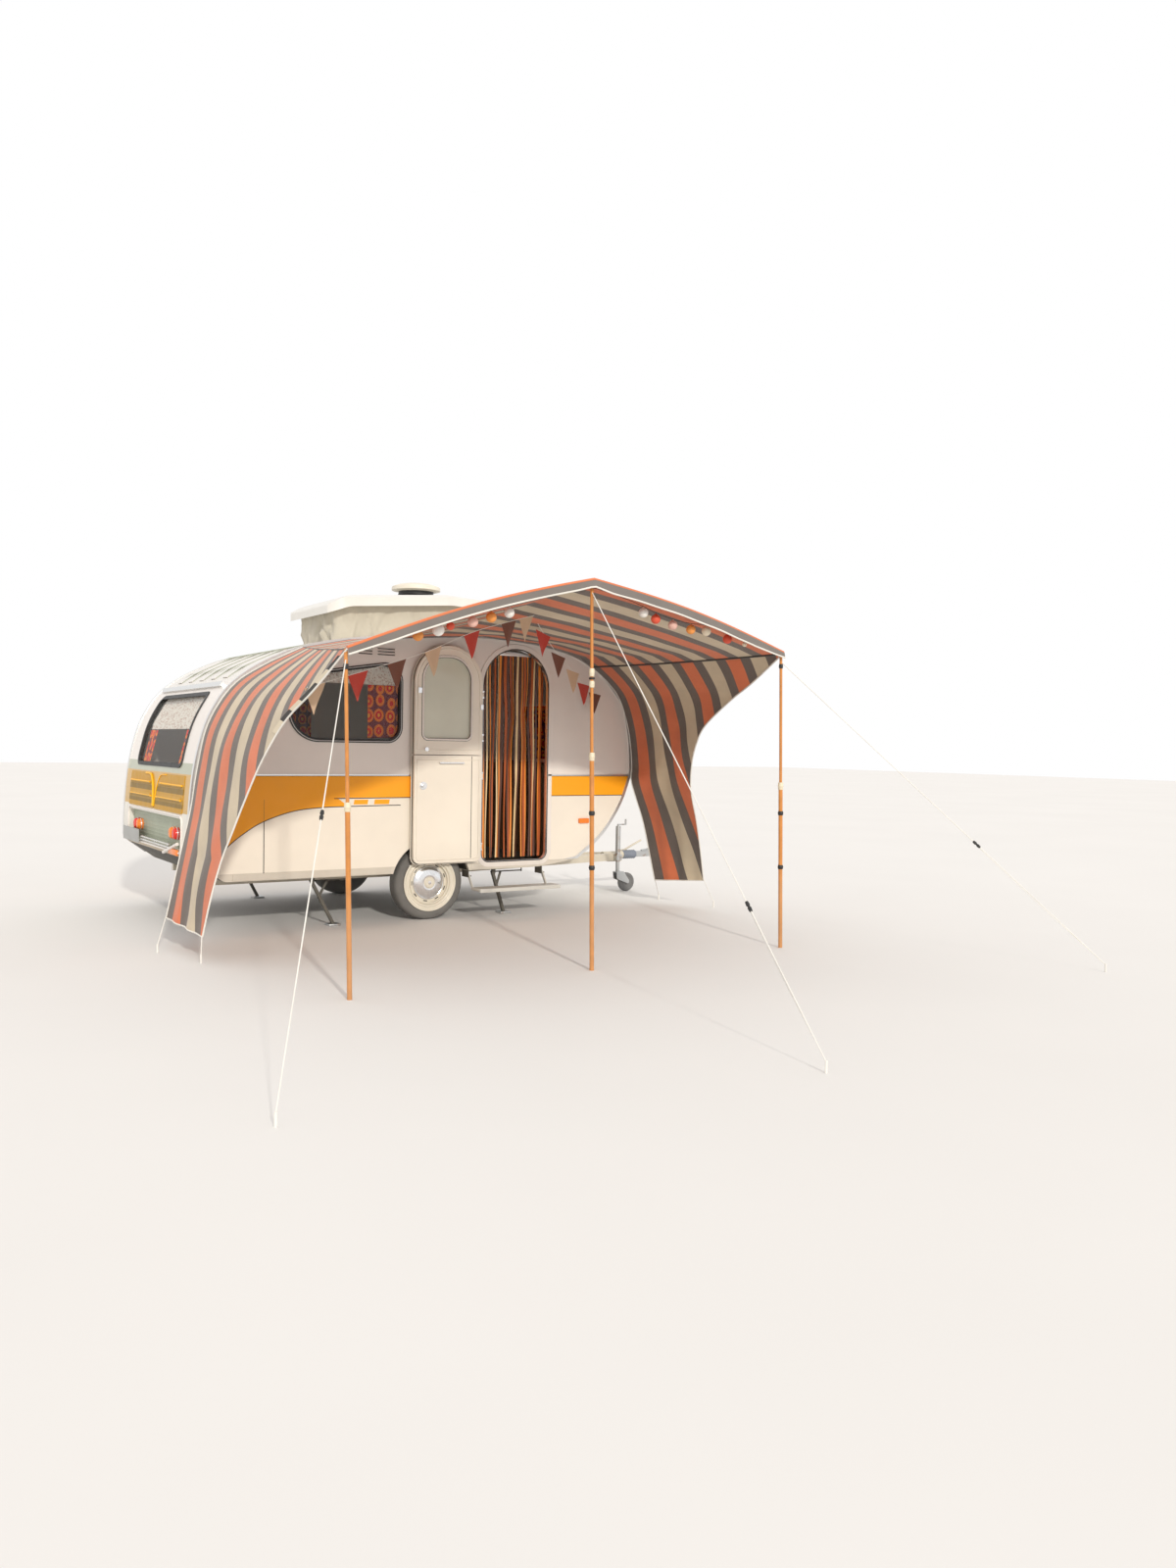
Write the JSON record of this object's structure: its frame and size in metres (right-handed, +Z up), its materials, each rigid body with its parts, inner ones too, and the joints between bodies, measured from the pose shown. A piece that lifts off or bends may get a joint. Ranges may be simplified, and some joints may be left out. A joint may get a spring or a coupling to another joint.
{
  "type": "caravan",
  "caption": "Small touring caravan with rounded body, raised pop-top roof, stable door, striped side awning on poles, drawbar with jockey wheel, and corner steadies.",
  "frame": {"origin": "point on the ground midway between the two road wheels, under the axle line", "axes": "+X forward along the drawbar, +Y to the side away from the door, +Z up"},
  "size_m": [5.575, 6.649, 2.7278],
  "materials": {
    "aluminium_trim": "satin",
    "awning_fabric": "matt",
    "bellows_fabric": "matt",
    "cabinet_wood": "satin",
    "chassis_paint": "satin",
    "cream_paint": "gloss",
    "curtain_fabric": "matt",
    "dark_paint": "satin",
    "door_glass": "frosted",
    "gaiter_rubber": "matt",
    "grey_paint": "satin",
    "guy_cord": "matt",
    "jockey_tyre": "matt",
    "lamp_plastic": "gloss",
    "lid_plastic": "gloss",
    "marker_plastic": "gloss",
    "plate_plastic": "satin",
    "pole_paint": "satin",
    "rim_paint": "satin",
    "seal_rubber": "matt",
    "seat_fabric": "matt",
    "steel": "satin",
    "strip_plastic": "satin",
    "tyre_rubber": "matt",
    "vent_plastic": "satin",
    "white_paint": "gloss",
    "window_glass": "clear",
    "yellow_paint": "gloss"
  },
  "bodies": {
    "caravan": {"side_wall_near": "white_paint", "side_wall_far": "white_paint", "floor_panel": "grey_paint", "rear_wall_upper": "white_paint", "front_wall": "white_paint", "rear_wall_lower": "cream_paint", "rear_pressed_fields": "yellow_paint", "rear_lamps": "lamp_plastic", "rear_bars": "steel", "number_plate": "plate_plastic", "roof_panel": "white_paint", "awning_rails": "aluminium_trim", "window_seals": "seal_rubber", "window_panes": "window_glass", "wheel_boxes": "grey_paint", "door_frame": "aluminium_trim", "chassis_frame": "chassis_paint", "axle_beam": "dark_paint", "underfloor_brackets": "dark_paint", "overrun_housing": "chassis_paint", "coupling_gaiter": "gaiter_rubber", "coupling_head": "steel", "jockey_tube": "steel", "pop_top_bellows": "bellows_fabric", "bench_bases": "cabinet_wood", "front_cabinet": "cabinet_wood", "seat_cushions": "seat_fabric", "window_curtains": "curtain_fabric", "strip_curtain": "strip_plastic", "side_markers": "marker_plastic", "awning_canopy": "awning_fabric", "awning_wing_rear": "awning_fabric", "awning_wing_front": "awning_fabric", "awning_poles": "pole_paint", "awning_guys": "guy_cord"},
    "door_upper": {"door_upper_leaf": "white_paint", "door_upper_fittings": "steel", "door_window_ring": "seal_rubber", "door_window_pane": "door_glass"},
    "door_lower": {"door_lower_leaf": "white_paint", "door_lower_fittings": "steel"},
    "step": {"folding_step": "grey_paint"},
    "wheel_near": {"tyre_near": "tyre_rubber", "wheel_rim_near": "rim_paint"},
    "wheel_far": {"tyre_far": "tyre_rubber", "wheel_rim_far": "rim_paint"},
    "pop_top": {"pop_top_lid": "lid_plastic", "roof_vent": "vent_plastic"},
    "jockey_stem": {"jockey_stem": "steel"},
    "jockey_fork": {"jockey_fork": "steel"},
    "jockey_wheel": {"jockey_wheel": "jockey_tyre"},
    "steady_rear_near": {"steady_leg_rear_near": "dark_paint"},
    "brace_rear_near": {"steady_brace_rear_near": "dark_paint"},
    "steady_rear_far": {"steady_leg_rear_far": "dark_paint"},
    "brace_rear_far": {"steady_brace_rear_far": "dark_paint"},
    "steady_front_near": {"steady_leg_front_near": "dark_paint"},
    "brace_front_near": {"steady_brace_front_near": "dark_paint"},
    "steady_front_far": {"steady_leg_front_far": "dark_paint"},
    "brace_front_far": {"steady_brace_front_far": "dark_paint"}
  },
  "joints": [
    {"name": "door_upper_swing", "type": "hinge", "parent": "caravan", "child": "door_upper", "pos_m": [0.418, -0.998, 1.6], "axis": [0, 0, 1], "range_deg": [0, 180]},
    {"name": "door_lower_swing", "type": "hinge", "parent": "caravan", "child": "door_lower", "pos_m": [0.418, -0.998, 0.86], "axis": [0, 0, 1], "range_deg": [0, 180]},
    {"name": "step_fold", "type": "hinge", "parent": "caravan", "child": "step", "pos_m": [0.6675, -0.996, 0.33], "axis": [1, 0, 0], "range_deg": [-90, 0]},
    {"name": "wheel_near_spin", "type": "hinge", "parent": "caravan", "child": "wheel_near", "pos_m": [0, -0.878, 0.2875], "axis": [0, 1, 0], "continuous": true},
    {"name": "wheel_far_spin", "type": "hinge", "parent": "caravan", "child": "wheel_far", "pos_m": [0, 0.878, 0.2875], "axis": [0, 1, 0], "continuous": true},
    {"name": "pop_top_lift", "type": "slide", "parent": "caravan", "child": "pop_top", "axis": [0, 0, 1], "range_m": [-0.22, 0], "deforming": ["pop_top_bellows"]},
    {"name": "jockey_lift", "type": "slide", "parent": "caravan", "child": "jockey_stem", "axis": [0, 0, 1], "range_m": [0, 0.08]},
    {"name": "jockey_swivel", "type": "hinge", "parent": "jockey_stem", "child": "jockey_fork", "pos_m": [2.362, -0.128, 0.186], "axis": [0, 0, 1], "continuous": true},
    {"name": "jockey_spin", "type": "hinge", "parent": "jockey_fork", "child": "jockey_wheel", "pos_m": [2.46, -0.128, 0.088], "axis": [0, 1, 0], "continuous": true},
    {"name": "steady_rear_near_fold", "type": "hinge", "parent": "caravan", "child": "steady_rear_near", "pos_m": [-0.93, -0.88, 0.338], "axis": [0, 1, 0], "range_deg": [-56.7, 0]},
    {"name": "brace_rear_near_turn", "type": "hinge", "parent": "steady_rear_near", "child": "brace_rear_near", "pos_m": [-0.86589, -0.86, 0.21354], "axis": [0, 1, 0], "range_deg": [0, 113.4]},
    {"name": "steady_rear_far_fold", "type": "hinge", "parent": "caravan", "child": "steady_rear_far", "pos_m": [-0.93, 0.88, 0.338], "axis": [0, 1, 0], "range_deg": [-56.7, 0]},
    {"name": "brace_rear_far_turn", "type": "hinge", "parent": "steady_rear_far", "child": "brace_rear_far", "pos_m": [-0.86589, 0.9, 0.21354], "axis": [0, 1, 0], "range_deg": [0, 113.4]},
    {"name": "steady_front_near_fold", "type": "hinge", "parent": "caravan", "child": "steady_front_near", "pos_m": [0.592, -0.88, 0.338], "axis": [0, 1, 0], "range_deg": [-66.3, 0]},
    {"name": "brace_front_near_turn", "type": "hinge", "parent": "steady_front_near", "child": "brace_front_near", "pos_m": [0.63445, -0.86, 0.20459], "axis": [0, 1, 0], "range_deg": [0, 132.6]},
    {"name": "steady_front_far_fold", "type": "hinge", "parent": "caravan", "child": "steady_front_far", "pos_m": [0.592, 0.88, 0.338], "axis": [0, 1, 0], "range_deg": [-66.3, 0]},
    {"name": "brace_front_far_turn", "type": "hinge", "parent": "steady_front_far", "child": "brace_front_far", "pos_m": [0.63445, 0.9, 0.20459], "axis": [0, 1, 0], "range_deg": [0, 132.6]}
  ],
  "couplings": [
    {"joint": "brace_rear_near_turn", "follows": "steady_rear_near_fold", "ratio": -2},
    {"joint": "brace_rear_far_turn", "follows": "steady_rear_far_fold", "ratio": -2},
    {"joint": "brace_front_near_turn", "follows": "steady_front_near_fold", "ratio": -2},
    {"joint": "brace_front_far_turn", "follows": "steady_front_far_fold", "ratio": -2}
  ]
}
